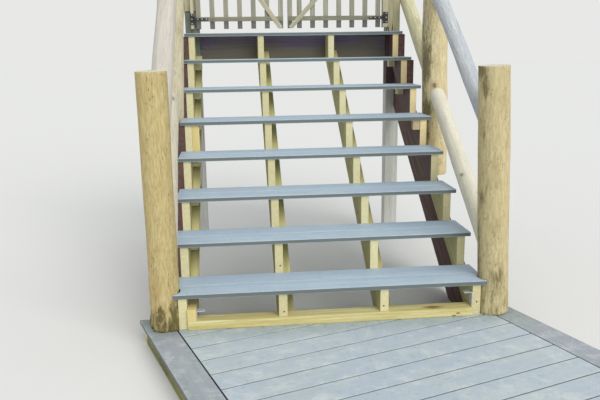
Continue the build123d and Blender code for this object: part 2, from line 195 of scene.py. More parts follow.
def timber(name, pale, deep, stain, streak, soft, rings=0.25, ring_gap=0.006, fibre=0.35, stained=(0.5, 0.75),
           flecks=0.0, checks=0.0, knots=0.0, carved=0.0, saw=0.0, cover=None, rough=(0.62, 0.85),
           wander=0.014, blotch=(2.6, 9), frayed=(9, 34), soil=None):
    """Wood, sawn or weathered: streaks, growth rings, fibres, drying checks, knots and saw marks.

    A streak has a length and a width in metres, and a blotch and a frayed edge have how many go into a
    metre along and across the grain. The other plain numbers say how strongly each feature shows.
    """
    material, tree, shader = surface(name)
    run = wandering_grain(tree, wander)
    away = None
    if knots:
        away, run = round_knots(tree, run)
    length, width = streak
    streaks = cloud(tree, run, (1 / length, 1 / width, 1 / width), 5, 0.65)
    streaks = level(tree, streaks, 0.5 - soft, 0.5 + soft)
    colour = mix(tree, streaks, deep, pale)
    broad = cloud(tree, run, (blotch[0], blotch[1], blotch[1]), 4, 0.62)
    colour = over(tree, colour, broad, *stained, 0.75, stain)
    late = level(tree, rings_of(tree, run, ring_gap, 0.6, 0.25), 0.5, 0.97, 0.0, rings)
    colour = mix(tree, late, colour, deep)
    fibres = cloud(tree, run, (14, 380, 380), 4, 0.62)
    colour = over(tree, colour, fibres, 0.42, 0.75, fibre, tint(deep, 0.8))
    light_fibres = cloud(tree, run, (22, 240, 240), 3, 0.6)
    colour = over(tree, colour, light_fibres, 0.55, 0.78, fibre, tint(pale, 1.1))
    height = count(tree, "MULTIPLY_ADD", late, -0.3, count(tree, "MULTIPLY", fibres, 0.3))
    if flecks:
        dash = cloud(tree, run, (48, 300, 300), 2, 0.5)
        where = level(tree, cloud(tree, run, (7, 22, 22), 3, 0.6), 0.42, 0.6)
        dash = count(tree, "MULTIPLY", level(tree, dash, 0.58, 0.7), where)
        colour = mix(tree, count(tree, "MULTIPLY", dash, flecks), colour, tint(deep, 0.45))
        height = count(tree, "MULTIPLY_ADD", dash, -0.5, height)
    if saw:
        saw_inputs = {"Vector": run, "Scale": 60, "Distortion": 1.2, "Detail": 1.0}
        bands = add(tree, "TexWave", saw_inputs, bands_direction="X").outputs["Fac"]
        colour = over(tree, colour, bands, 0.6, 1.0, 0.12 * saw, deep)
        height = count(tree, "MULTIPLY_ADD", bands, saw, height)
    if checks:
        cells = {"Vector": stretch(tree, run, (1.1, 26, 26)), "Scale": 1.0}
        edges = add(tree, "TexVoronoi", cells, feature="DISTANCE_TO_EDGE").outputs[0]
        where = level(tree, cloud(tree, run, (1.3, 9, 9), 2), 0.66 - checks, 0.74 - checks)
        split = count(tree, "MULTIPLY", level(tree, edges, 0.03, 0.006), where)
        colour = mix(tree, split, colour, tint(deep, 0.36))
        height = count(tree, "MULTIPLY_ADD", split, -1.6, height)
    # The cover colour goes over the patch marks: bark, lichen and stain on some woods, painted shade on
    # others.
    if cover:
        torn = cloud(tree, run, (frayed[0], frayed[1], frayed[1]), 5, 0.75)
        cover_share = level(tree, count(tree, "ADD", mark(tree, "patch"), torn), 0.85, 1.15)
        grained = over(tree, cover, fibres, 0.4, 0.7, 0.6, tint(cover, 0.7))
        colour = mix(tree, cover_share, colour, grained)
        height = count(tree, "MULTIPLY_ADD", cover_share, 0.5, height)
    if soil:
        soil_colour, spots = soil
        place = add(tree, "TexCoord", {}).outputs["Object"]
        ragged = cloud(tree, run, (25, 120, 120), 4, 0.7)
        for centre, size in spots:
            near = stretch(tree, vector(tree, "SUBTRACT", place, centre), tuple(1 / part for part in size))
            far = count(tree, "MULTIPLY_ADD", ragged, 1.6, vector(tree, "LENGTH", near))
            colour = over(tree, colour, far, 1.7, 1.2, 0.85, soil_colour)
    if knots:
        colour = knot_marks(tree, colour, away, deep, knots)
    if carved:
        ruffle = cloud(tree, run, (60, 90, 90), 2, 0.5, "Color")
        off = vector(tree, "ADD", mark(tree, "knot", "Vector"), ruffle)
        away = vector(tree, "LENGTH", vector(tree, "SUBTRACT", off, (0.5, 0.5, 0.5)))
        colour = knot_marks(tree, colour, away, deep, carved)
    wire(tree, shader, colour, level(tree, streaks, 0.0, 1.0, *rough[::-1]), height, 0.0012)
    return material


def end_grain(name, pale, deep):
    """Cut wood across the grain: growth rings round the heart, and checks that open outwards from it."""
    material, tree, shader = surface(name)
    run = wandering_grain(tree)
    ring = rings_of(tree, run, 0.004, 0.8, 0.3)
    colour = over(tree, pale, ring, 0.3, 1.0, 0.7, deep)
    blotch = cloud(tree, run, (20, 34, 34), 4, 0.6)
    colour = over(tree, colour, blotch, 0.4, 0.7, 0.5, deep)
    axes = add(tree, "SeparateXYZ", {0: run}).outputs
    turn = count(tree, "ARCTAN2", axes[1], axes[2])
    spokes = cloud(tree, add(tree, "CombineXYZ", {0: turn}).outputs[0], (4.5, 1, 1), 3, 0.7)
    off_spoke = count(tree, "ABSOLUTE", count(tree, "SUBTRACT", spokes, 0.5))
    split = level(tree, off_spoke, 0.008, 0.0, 0.0, 0.8)
    colour = mix(tree, split, colour, tint(deep, 0.35))
    height = count(tree, "SUBTRACT", count(tree, "MULTIPLY", ring, 0.3), split)
    wire(tree, shader, colour, level(tree, ring, 0.0, 1.0, 0.75, 0.9), height, 0.001)
    return material


def with_marks(bm):
    """Room on every corner for the grain, knots and patches that the materials follow."""
    bm.verts.layers.float_vector.new("grain")
    bm.verts.layers.float.new("patch")
    bm.faces.layers.float.new("arris_wear_and_highlight")


def boards_of(bm):
    """The separate boards of a mesh, each as a list of its corners."""
    seen, boards = set(), []
    for start in bm.verts:
        if start in seen:
            continue
        seen.add(start)
        board, waiting = [], [start]
        while waiting:
            corner = waiting.pop()
            board.append(corner)
            for edge in corner.link_edges:
                other = edge.other_vert(corner)
                if other not in seen:
                    seen.add(other)
                    waiting.append(other)
        boards.append(board)
    return boards


def lay_grain(bm, corners, along, luck):
    """Writes where each corner lies along, across and through its board, from a heart of its own."""
    layer = bm.verts.layers.float_vector["grain"]
    across = upright.cross(along)
    across = across.normalized() if across.length > 0.1 else level_across
    through = along.cross(across)
    middle = sum((corner.co for corner in corners), Vector()) / len(corners)
    heart = Vector((luck.uniform(0, 40), luck.uniform(-0.05, 0.05), luck.uniform(0.05, 0.13)))
    for corner in corners:
        arm = corner.co - middle
        corner[layer] = heart + Vector((arm.dot(along), arm.dot(across), arm.dot(through)))


def ease(bm, edges, width):
    """Rounds sharp arrises, and marks the narrow new faces for wear and a painted highlight."""
    made = bmesh.ops.bevel(bm, geom=edges, offset=width, offset_type="OFFSET", segments=2, profile=0.5,
                           affect="EDGES", clamp_overlap=True, material=-1)
    arris_wear_and_highlight = bm.faces.layers.float["arris_wear_and_highlight"]
    for face in made["faces"]:
        face[arris_wear_and_highlight] = 1.0


def put(name, data):
    made = bpy.data.objects.new(name, data)
    bpy.context.scene.collection.objects.link(made)
    return made


def fit(bm, name, finishes, stands_for=(), body="stairs"):
    """The finished mesh as a piece of the stairs, riding on the body that carries it."""
    mesh = bpy.data.meshes.new(name)
    bm.to_mesh(mesh)
    bm.free()
    for finish in finishes:
        mesh.materials.append(finish)
    piece = put(name, mesh)
    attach(piece, body)
    if stands_for:
        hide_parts(*stands_for)
    return piece


def dress(node, along, arris, finishes, body="stairs", end_cut=square_on):
    """Sawn stock in the solid's own shape, with eased arrises, its own grain and its cut ends."""
    bm = bmesh.new()
    bm.from_mesh(solids[node].data)
    with_marks(bm)
    bmesh.ops.remove_doubles(bm, verts=bm.verts, dist=merge_gap)
    bmesh.ops.dissolve_limit(bm, angle_limit=math.radians(1), verts=bm.verts, edges=bm.edges)
    sharp = [edge for edge in bm.edges if edge.is_manifold and edge.calc_face_angle() > math.radians(30)]
    ease(bm, sharp, arris)
    luck = random.Random(node)
    along = along.normalized()
    for board in boards_of(bm):
        lay_grain(bm, board, along, luck)
    for face in bm.faces:
        if len(finishes) > 1 and abs(face.normal.dot(along)) > end_cut:
            face.material_index = 1
    return fit(bm, node + "_dressed", finishes, [node], body)


def sawn_pine(name, pale, deep, stain, streak=(0.9, 0.025), knots=0.7, **more):
    return timber(name, pale, deep, stain, streak, 0.25, ring_gap=0.008, knots=knots, saw=0.35, **more)


def fresh_cut(name, pale, deep, stain, rings=0.2, saw=0.6):
    """A face that the saw has just left, paler and rougher than the board's planed sides."""
    return timber(name, pale, deep, stain, (0.4, 0.012), 0.3, rings=rings, fibre=rings, saw=saw)


pine = sawn_pine("treated_pine", pine_pale, pine_deep, pine_green)
pine_cut = fresh_cut("treated_pine_cut", pine_sawn, pine_sawn_deep, pine_sawn_stain)
# A darker green copy of the pine for the joists and rims: soil, and painted shade under the border boards.
soil_and_shade_pine = sawn_pine("soil_and_shade_pine", (156, 153, 96), (118, 117, 68), (88, 87, 56), (0.8, 0.025),
                        stained=(0.42, 0.62))
dress("landing_joists", along_landing, sawn_arris, [soil_and_shade_pine, pine_cut])
dress("landing_rims", across_landing, sawn_arris, [soil_and_shade_pine, pine_cut])

# Landing boards
# Moulded wood-plastic decking with rounded arrises and a brushed grain, laid at an angle on hidden
# clips, with a mitre-free border down both sides and across the front. Feet have scuffed it pale.
decking_arris = 0.003
# The scuff colour also pales the arrises, as wear and as a painted highlight.
deck_pale, deck_deep, deck_scuff_and_highlight = (185, 197, 201), (174, 187, 193), (208, 214, 213)
# The side colour paints shade on the boards' sides and grime on their tops; the green film is moss with
# painted shade.
deck_cool, deck_side_shade_and_grime, moss_and_shade_film = (177, 190, 203), (108, 118, 120), (118, 134, 126)


def composite(name, pale, deep, scuff_and_highlight, edge, cool, scuffed=(0.46, 0.7), lines=0.5, dirt=0.35,
              arris_wear_and_highlight=(0.2, 0.75), soil_and_shade_back=None):
    """Wood-plastic board: soft brushed streaks, cool and scuffed patches, arrises paled by wear and a painted
    highlight, sides painted darker as shade.
    """
    material, tree, shader = surface(name, specular=0.35)
    run = wandering_grain(tree)
    place = add(tree, "TexCoord", {}).outputs["Object"]
    streaks = cloud(tree, run, (1.3, 30, 30), 4, 0.6)
    colour = over(tree, deep, streaks, 0.3, 0.7, 1.0, pale)
    patches = cloud(tree, place, (4.5, 4.5, 4.5), 5, 0.65)
    colour = over(tree, colour, patches, 0.38, 0.62, 0.8, cool)
    scratch = cloud(tree, run, (2.6, 120, 120), 4, 0.62)
    colour = over(tree, colour, scratch, 0.55, 0.78, lines, scuff_and_highlight)
    scuffs = cloud(tree, place, (11, 11, 11), 8, 0.74)
    colour = over(tree, colour, scuffs, *scuffed, 0.75, scuff_and_highlight)
    brushed = cloud(tree, run, (7, 340, 340), 4, 0.65)
    colour = over(tree, colour, brushed, 0.5, 0.8, 0.4, deep)
    grime = cloud(tree, place, (34, 34, 34), 5, 0.75)
    colour = over(tree, colour, grime, 0.54, 0.74, dirt, edge)
    # Towards the back, near the foot of the stairs, a green film darkens the boards: moss, and painted shade
    # from the stairs.
    if soil_and_shade_back:
        back = add(tree, "SeparateXYZ", {0: place}).outputs[1]
        soil_and_shade_share = level(tree, back, *soil_and_shade_back, 0.0, 0.6)
        soil_and_shade_share = count(tree, "MULTIPLY", soil_and_shade_share, level(tree, grime, 0.3, 0.6, 0.35, 1.0))
        colour = mix(tree, soil_and_shade_share, colour, moss_and_shade_film)
    # Faces that don't look up take the darker side colour as painted shade.
    normal = add(tree, "NewGeometry", {}).outputs["True Normal"]
    upward = count(tree, "ABSOLUTE", add(tree, "SeparateXYZ", {0: normal}).outputs[2])
    colour = over(tree, colour, upward, 0.75, 0.25, 1.0, edge)
    # Arrises take the scuff colour: wear, and a painted highlight.
    wear_and_highlight = level(tree, cloud(tree, place, (16, 16, 16), 3, 0.6), 0.35, 0.6, *arris_wear_and_highlight)
    colour = mix(tree, count(tree, "MULTIPLY", mark(tree, "arris_wear_and_highlight"), wear_and_highlight), colour, scuff_and_highlight)
    height = count(tree, "MULTIPLY_ADD", brushed, 0.8, count(tree, "MULTIPLY", scratch, 0.3))
    wire(tree, shader, colour, level(tree, scuffs, 0.3, 0.7, 0.48, 0.68), height, 0.0006)
    return material


decking = composite("landing_decking", deck_pale, deck_deep, deck_scuff_and_highlight, deck_side_shade_and_grime, deck_cool, lines=0.3,
                    arris_wear_and_highlight=(0.0, 0.25), soil_and_shade_back=(-0.2, 0.08))
border_decking = composite("border_decking", (164, 173, 176), (152, 161, 165), (196, 201, 204), deck_side_shade_and_grime,
                           (156, 160, 172), (0.46, 0.68), lines=0.15, dirt=0.6, arris_wear_and_highlight=(0.0, 0.4),
                           soil_and_shade_back=(-0.25, 0.1))
sawn_decking = composite("sawn_decking", (92, 99, 104), (66, 72, 78), (110, 114, 114), (84, 90, 95),
                         (80, 86, 92))
dress("landing_boards", across_landing, decking_arris, [decking, sawn_decking])
dress("landing_border_front", across_landing, decking_arris, [border_decking, sawn_decking])
for border in ("landing_border_left", "landing_border_right"):
    dress(border, along_landing, decking_arris, [border_decking, sawn_decking])

# Gate posts and head joist
# Square sawn posts with grey feet, up to the gate's top, green with algae on the left and bleached on
# the right, and the dark stained joist between them that carries the head of the flight.
post_arris, joist_arris = 0.004, 0.002
post_foot_top, post_head_foot, joint_height = 1.22, 1.79, 0.008
joist_low, joist_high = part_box("head_joist")


def post_wood(name, pale, deep, stain, streak=(0.7, 0.02), checks=0.1, **more):
    return timber(name, pale, deep, stain, streak, 0.25, checks=checks, **more)


green_post = post_wood("green_post", (136, 142, 130), (106, 114, 98), (94, 108, 88), knots=0.5)
cream_post = post_wood("cream_post", (208, 199, 166), (160, 157, 127), (140, 141, 112), (0.7, 0.03),
                       knots=0.5)
grey_foot = post_wood("grey_foot", (214, 214, 208), (190, 190, 184), (200, 200, 192))
# Between its grey foot and the head joist's top, the right post is dark purple: its own tone and painted
# shade together.
purple_shaded_post = post_wood("purple_shaded_post", (104, 84, 84), (78, 60, 64), (92, 78, 74))
# A dark band painted as the shadow line of the joint between the left post's two lengths.
joint_shadow_line = post_wood("joint_shadow_line", (52, 44, 44), (38, 32, 34), (48, 42, 40), checks=0.0)
post_end = end_grain("post_end", (150, 146, 124), (104, 102, 84))
damp_line = [((x, joist_low.y, joist_low.z + 0.03), (0.45, 0.3, 0.12)) for x in (-0.5, -0.15, 0.2, 0.55)]
old_joist = post_wood("old_joist", (136, 122, 146), (106, 94, 116), (120, 112, 98), (0.9, 0.03), 0.06,
                      stained=(0.4, 0.6), soil=((112, 108, 92), damp_line))


def split_at(bm, height, keep_above=False):
    """Divides the faces at one height, and takes off what is below it if only the rest is kept."""
    bmesh.ops.bisect_plane(bm, geom=bm.verts[:] + bm.edges[:] + bm.faces[:], plane_co=(0, 0, height),
                           plane_no=(0, 0, -1 if keep_above else 1), clear_outer=keep_above)


def in_lengths(piece, finishes, cuts):
    """Gives an upright piece a finish of its own over each length between the heights of its cuts."""
    bm = bmesh.new()
    bm.from_mesh(piece.data)
    for cut in cuts:
        split_at(bm, cut)
    first = len(piece.data.materials)
    for face in bm.faces:
        if face.material_index == 0:
            height = face.calc_center_median().z
            face.material_index = first + sum(height > cut for cut in cuts)
    bm.to_mesh(piece.data)
    bm.free()
    for finish in finishes:
        piece.data.materials.append(finish)


left_post = dress("gate_post_left", upright, post_arris, [green_post, post_end])
right_post = dress("gate_post_right", upright, post_arris, [cream_post, post_end])
in_lengths(left_post, [grey_foot, green_post, joint_shadow_line, cream_post],
           [post_foot_top, post_head_foot, post_head_foot + joint_height])
in_lengths(right_post, [grey_foot, purple_shaded_post, cream_post], [post_foot_top, joist_high.z])
dress("head_joist", level_across, joist_arris, [old_joist])

# Old side stringers
# Deep hardwood boards kept from an earlier flight, outside the pine ones. Their maroon stain has worn
# thin, they are checked along the grain, and the left one is notched for every tread.
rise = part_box("tread_2")[1].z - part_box("tread_1")[1].z
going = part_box("tread_2")[0].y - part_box("tread_1")[0].y
up_flight = Vector((0, going, rise)).normalized()
board_arris = 0.003
maroon = timber("maroon_stain", (112, 83, 79), (80, 58, 56), (116, 91, 74), (0.6, 0.025), 0.25,
                stained=(0.45, 0.65), checks=0.08, knots=0.3)
maroon_end = end_grain("maroon_end", (82, 62, 56), (54, 40, 38))
for side in ("left", "right"):
    dress("side_stringer_" + side, up_flight, board_arris, [maroon, maroon_end])

# Pine carriage
# Four sawtooth stringers cut from wide treated pine, the inner two notched over the kicker plate, with
# battens nailed beside three of them, and short cleats and packers that steady the treads' ends.
tooth_cut = 0.8
kicker_dirt = (((0.543, 0.03, 0.155), (0.08, 0.024, 0.03)), ((0.646, -0.006, 0.12), (0.017, 0.02, 0.007)),
               ((0.669, -0.006, 0.132), (0.017, 0.02, 0.007)))
kicker_pine = timber("kicker_pine", (226, 220, 170), (190, 174, 106), (196, 184, 120), (1.0, 0.022), 0.22,
                     rings=0.45, ring_gap=0.011, saw=0.2, wander=0.03, soil=((118, 92, 60), kicker_dirt))
dress("kicker_plate", level_across, board_arris, [kicker_pine, pine_cut])
# A brighter copy of the fresh-cut pine, painted light on cut faces that the treads above shade.
bright_cut = fresh_cut("bright_cut", (227, 220, 181), (207, 198, 151), (217, 208, 163))
# A warmer and brighter copy, painted light on the right stringer's cut faces above the fourth tread, where
# treads and rails shade them.
warm_cut = fresh_cut("warm_cut", (246, 227, 178), (226, 203, 150), (234, 212, 160))
beige_pine = fresh_cut("beige_pine", (212, 192, 156), (186, 162, 124), (198, 176, 138), 0.25, 0.4)
warm_block = fresh_cut("warm_block", (232, 214, 152), (208, 188, 122), (220, 200, 136), 0.25, 0.4)
# A brighter copy of the sawn pine, painted light on the cleats in the treads' shade.
bright_pine = sawn_pine("bright_pine", (234, 228, 182), (212, 204, 150), (218, 210, 158), knots=0.5)
# The maroon cover on the right stringer's inner face is old stain and painted shade under the treads
# together.
stain_and_shade_pine = sawn_pine("stain_and_shade_pine", pine_pale, pine_deep, pine_green, cover=(104, 80, 80))
for number, cut_face in ((1, bright_cut), (2, pine_cut), (3, bright_cut)):
    dress(f"stringer_{number}", up_flight, sawn_arris, [pine, cut_face], end_cut=tooth_cut)
right_outer = dress("stringer_4", up_flight, sawn_arris, [pine, warm_cut, stain_and_shade_pine, pine_cut],
                    end_cut=tooth_cut)
stain_and_shade_low, stain_and_shade_high = 0.6, 0.72
warm_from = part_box("tread_4")[1].z
bm = bmesh.new()
bm.from_mesh(right_outer.data)
patch_mark = bm.verts.layers.float["patch"]
split_at(bm, stain_and_shade_low)
split_at(bm, stain_and_shade_high)
# The maroon stain and painted shade fade in between the two heights.
for corner in bm.verts:
    corner[patch_mark] = min(max((corner.co.z - stain_and_shade_low) / (stain_and_shade_high - stain_and_shade_low), 0.0), 1.0)
for face in bm.faces:
    if face.normal.x < -square_on:
        face.material_index = 2
    # Cut faces below the fourth tread take the plain cut pine; above it they keep the brighter copy as
    # painted light.
    elif face.material_index == 1 and face.calc_center_median().z < warm_from:
        face.material_index = 3
bm.to_mesh(right_outer.data)
bm.free()
dress("raking_battens", up_flight, sawn_arris, [pine, pine_cut])
dress("tread_cleats", level_back, sawn_arris, [bright_pine, bright_cut])
packers = dress("packer_blocks", upright, sawn_arris, [beige_pine, beige_pine, warm_block])
for face in packers.data.polygons:
    if face.center.x < 0:
        face.material_index = 2

# Foot brackets
# Two small pressed angle brackets, hot-dip galvanised so that the zinc shows as dull grey spangles.
# Each stands on the kicker plate beside the foot of an outer stringer.
pressed_arris = 0.0006


def metal(name, base, dull, metallic, rough, spangle=160):
    """Coated steel: crystals or fine mottling in the coating, with duller, rougher patches."""
    material, tree, shader = surface(name, specular=0.5, metallic=metallic)
    place = add(tree, "TexCoord", {}).outputs["Object"]
    crystal = add(tree, "TexVoronoi", {"Vector": place, "Scale": spangle}).outputs["Color"]
    share = add(tree, "SeparateXYZ", {0: crystal}).outputs[0]
    colour = over(tree, dull, share, 0.0, 1.0, 1.0, base)
    patches = cloud(tree, place, (60, 60, 60), 4, 0.6)
    colour = over(tree, colour, patches, 0.5, 0.7, 0.6, dull)
    wire(tree, shader, colour, level(tree, patches, 0.3, 0.7, *rough), patches, 0.0002)
    return material


zinc = metal("galvanised", (214, 217, 218), (176, 180, 182), 0.25, (0.38, 0.6))
dress("foot_brackets", upright, pressed_arris, [zinc])

# Treads
# Two boards of the same wood-plastic decking to each tread, bluer than the landing, partly because fewer
# feet have dulled them and partly as a painted sky reflection. Their sawn ends show the dark core and are
# cut round the newels and left mid post.
tread_decking = composite("tread_decking", (180, 199, 212), (166, 186, 200), (204, 216, 224), (104, 113, 112),
                          (170, 187, 207), (0.58, 0.85), 0.6, arris_wear_and_highlight=(0.4, 0.6))
for step in range(1, 9):
    dress(f"tread_{step}", level_across, decking_arris, [tread_decking, sawn_decking])

# Newels
# Peeled logs standing on the landing, sawn at the top with a slight fall and bolted to the outer
# stringers. The left one is warm ochre with bark left at its foot; the right one is paler, with lichen.
landing_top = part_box("landing_boards")[1].z
nosing_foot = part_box("tread_1")[1].z
carriage_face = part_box("stringer_4")[1].x
log_ring_step, log_side_step = 0.011, 0.0068


def bulge(height, turn, scale, stretched, luck):
    """Lump or hollow at one place on a log's side, the same for the same luck."""
    spot = Vector((math.cos(turn) * scale, math.sin(turn) * scale, height * stretched))
    return noise.noise(spot + Vector((luck * 7.3, luck * 3.1, luck * 5.7)))


def log(name, foot, head, radius, finishes, slot, luck, knots=(), patches=(), swell=None,
        ridges=0.0, crook=0.004, lumps=0.0025, rounded=False, flat=None):
    """Peeled log: an outline spun round its heart, then given lumps, ridges, a slight crook and knots."""
    foot, head = Vector(foot), Vector(head)
    line = head - foot
    length, chamfer, ridges_end, knot_reach = line.length, 0.003, 0.32, 4
    swell_height, swell_out, swell_forward, swell_side = swell or (1.0, 0.0, 0.0, 0)
    outline = [(0, 0), (radius - chamfer, 0), (radius, chamfer), (radius, length - chamfer)]
    if rounded:
        quarter = [math.radians(turn) for turn in range(15, 90, 15)]
        outline += [(radius * math.cos(turn), length + radius * math.sin(turn)) for turn in quarter]
        outline.append((0, length + radius))
    else:
        outline += [(radius - chamfer, length), (0, length)]
    bm = bmesh.new()
    corners = [bm.verts.new((out, 0, up)) for out, up in outline]
    runs = [bm.edges.new(pair) for pair in zip(corners, corners[1:])]
    for run in runs:
        cuts = int(run.calc_length() / log_ring_step)
        if cuts:
            bmesh.ops.subdivide_edges(bm, edges=[run], cuts=cuts)
    around = int(2 * math.pi * radius / log_side_step)
    bmesh.ops.spin(bm, geom=bm.verts[:] + bm.edges[:], cent=(0, 0, 0), axis=(0, 0, 1),
                   angle=2 * math.pi, steps=around, use_merge=True, use_duplicate=False)
    bmesh.ops.remove_doubles(bm, verts=bm.verts, dist=merge_gap)
    bmesh.ops.recalc_face_normals(bm, faces=bm.faces)
    with_marks(bm)
    knot_mark = bm.verts.layers.float_vector.new("knot")
    grain, patch_mark = bm.verts.layers.float_vector["grain"], bm.verts.layers.float["patch"]
    for face in bm.faces:
        height = face.calc_center_median().z
        cut = abs(face.normal.z) > square_on and not (rounded and height > length)
        face.material_index = (1 if height < length / 2 else len(finishes) - 1) if cut else 0
        face.smooth = not cut
    line.normalize()
    side = (level_across - line.dot(level_across) * line).normalized()
    to_place = Matrix.Translation(foot) @ Matrix((side, line.cross(side), line)).transposed().to_4x4()
    for corner in bm.verts:
        x, y, z = corner.co
        turn = math.atan2(y, x)
        push = lumps * (bulge(z, turn, 1.1, 3.0, luck) + 0.5 * bulge(z, turn, 3.2, 7.0, luck))
        push += ridges * max(0.0, 1 - z / ridges_end) * bulge(z, turn, 7.0, 16.0, luck)
        corner[knot_mark] = Vector((0, 0, 2 * knot_reach + 1))
        grain_turn = turn
        for knot_height, knot_turn, knot_size in knots:
            swing = (turn - math.radians(knot_turn) + math.pi) % (2 * math.pi) - math.pi
            off = Vector(((z - knot_height) / 1.25, swing * radius, 0)) / knot_size
            away = off.length
            push += 0.16 * knot_size * (math.exp(-(0.8 * away) ** 2) - 0.9 * math.exp(-(2.4 * away) ** 2))
            grain_turn -= 0.8 * swing * math.exp(-(0.5 * away) ** 2)
            if away < knot_reach:
                corner[knot_mark] = off
        for patch_height, patch_turn, high, wide, strength in patches:
            swing = (math.degrees(turn) - patch_turn + 180) % 360 - 180
            corner[patch_mark] += strength * math.exp(-((z - patch_height) / high) ** 2 - (swing / wide) ** 2)
        out = math.hypot(x, y)
        corner[grain] = Vector((z + luck * 4.7, out * math.cos(grain_turn), out * math.sin(grain_turn)))
        below = max(0.0, 1 - z / swell_height)
        grow = 1 + (push + swell_out * below) / radius
        lean = crook * math.sin(math.pi * min(max(z / length, 0), 1))
        corner.co.x = x * grow + lean * noise.noise(Vector((z * 1.7, luck, 0)))
        corner.co.y = y * grow + lean * noise.noise(Vector((z * 1.7, 0, luck)))
        corner.co = to_place @ corner.co
        corner.co.x += swell_side * swell_out * below
        corner.co.y -= swell_forward * below
        if flat:
            flat(corner)
    return fit(bm, name + "_peeled", finishes, [name])


def post_log(name, pale, deep, stain, cover, streak, flecks=0.85, carved=0.9, wander=0.006, blotch=(8, 14),
             frayed=(16, 60), **more):
    """A post's round side: short streaks and flecks, and bark or lichen over its patches, which on the mid
    posts' left sides also stand for painted shade.
    """
    return timber(name, pale, deep, stain, streak, 0.25, rings=0.0, flecks=flecks, carved=carved, cover=cover,
                  rough=(0.72, 0.9), wander=wander, blotch=blotch, frayed=frayed, **more)


newel_height, newel_fall, newel_rim = 1.308, 0.04, 0.006
newel_top = landing_top + newel_height
newel_radii = {"left": 0.076, "right": 0.080}
newel_y, newel_back_lean = 0.066, 0.0157
newel_feet = {"left": -carriage_face - 0.069, "right": carriage_face + 0.091}
newel_leans = {"left": -0.0039, "right": -0.0484}
newel_swell = (0.19, 0.008, 0.004)
newel_ridges = {"left": 0.016, "right": 0.003}
inward = {"left": 1, "right": -1}
log_end = end_grain("log_end", (236, 228, 214), (212, 201, 180))
ochre_log = post_log("ochre_log", (204, 189, 140), (172, 152, 101), (180, 156, 104), (106, 97, 56),
                     (0.05, 0.008), wander=0.005, frayed=(22, 80))
tan_log = post_log("tan_log", (209, 196, 154), (180, 164, 120), (172, 152, 112), (134, 122, 86),
                   (0.06, 0.01), carved=0.8, wander=0.005, blotch=(9, 16))


def trim(corner):
    """Flattens the foot where it is bolted to the stringer, and slopes the sawn top to the front."""
    if corner.co.z > newel_top - newel_rim:
        corner.co.z -= newel_fall * max(0.0, newel_y + newel_radii["right"] - corner.co.y)
    if corner.co.z < nosing_foot and abs(corner.co.x) < carriage_face:
        corner.co.x = math.copysign(carriage_face, corner.co.x)


newel_knots = {
    "left": ((0.075, -111, 0.014), (0.7, 60, 0.017)),
    "right": ((0.28, -178, 0.012), (0.92, 80, 0.017)),
}
newel_patches = {
    "left": ((0.0, -90, 0.19, 400, 0.58), (0.11, -105, 0.03, 12, 0.25), (0.12, -58, 0.08, 14, 0.15),
             (0.3, -42, 0.2, 20, 0.25), (0.8, -22, 0.1, 20, 0.4), (0.8, -100, 0.12, 40, 0.25),
             (0.3, 100, 0.3, 60, 0.35)),
    "right": ((1.3, -171, 0.07, 45, 0.75), (1.19, -146, 0.06, 24, 0.55), (0.96, -150, 0.06, 12, 0.55),
              (0.73, -120, 0.1, 26, 0.42), (0.63, -154, 0.08, 24, 0.42), (0.4, -175, 0.3, 24, 0.42),
              (0.235, -96, 0.12, 34, 0.33), (1.1, -118, 0.08, 30, 0.33), (0.0, -90, 0.3, 400, 0.42),
              (0.7, 70, 0.4, 50, 0.35)),
}
newel_woods = {"left": ochre_log, "right": tan_log}
for luck, (side, wood) in enumerate(newel_woods.items(), start=1):
    foot = (newel_feet[side], newel_y, landing_top)
    head = (newel_feet[side] + newel_leans[side], newel_y + newel_back_lean, newel_top)
    log("newel_" + side, foot, head, newel_radii[side], [wood, log_end], "log", luck, newel_knots[side],
        newel_patches[side], swell=(*newel_swell, inward[side]), ridges=newel_ridges[side], crook=0.003,
        flat=trim)

# Mid posts
# Short logs half-way up, hung on the old side stringers and housed over them. Their left sides are green
# with algae and darker with painted shade, and the sawn feet are dark and damp.
mid_radius = 0.087
mid_y = 1.378
mid_foot, mid_length = landing_top + 0.515, 1.535
mid_places = {"left": -carriage_face - 0.129, "right": carriage_face + 0.138}
mid_leans = {"left": 0.0752, "right": -0.0261}
olive_log = post_log("olive_log", (224, 212, 172), (190, 172, 130), (170, 148, 110), (130, 120, 88),
                     (0.07, 0.01), flecks=0.8, stained=(0.52, 0.75))
straw_log = post_log("straw_log", (224, 216, 190), (196, 185, 150), (190, 172, 130), (150, 142, 106),
                     (0.09, 0.01), flecks=0.6, carved=0.8)
damp_end = end_grain("damp_end", (96, 82, 62), (62, 52, 40))
mid_knots = {
    "left": ((0.5, -150, 0.02), (1.0, 120, 0.02)),
    "right": ((0.628, -108, 0.013), (0.2, 60, 0.02), (1.15, 70, 0.02)),
}
# Each mid post's first patch runs down its left side: algae, and painted shade.
mid_patches = {
    "left": ((0.7, 170, 1.0, 40, 0.6), (0.9, -20, 0.5, 16, 0.4)),
    "right": ((0.7, -170, 1.0, 34, 0.52), (1.14, -98, 0.05, 25, 0.4), (0.47, -136, 0.07, 25, 0.5),
              (0.3, -130, 0.1, 25, 0.4), (0.95, -125, 0.25, 24, 0.36), (0.75, -140, 0.12, 22, 0.4)),
}
mid_woods = {"left": straw_log, "right": olive_log}
for luck, (side, wood) in enumerate(mid_woods.items(), start=3):
    foot = (mid_places[side], mid_y, mid_foot)
    head = (mid_places[side] + mid_leans[side], mid_y, mid_foot + mid_length)
    log("mid_post_" + side, foot, head, mid_radius, [wood, damp_end, log_end], "log", luck,
        mid_knots[side], mid_patches[side], lumps=0.004, crook=0.008)

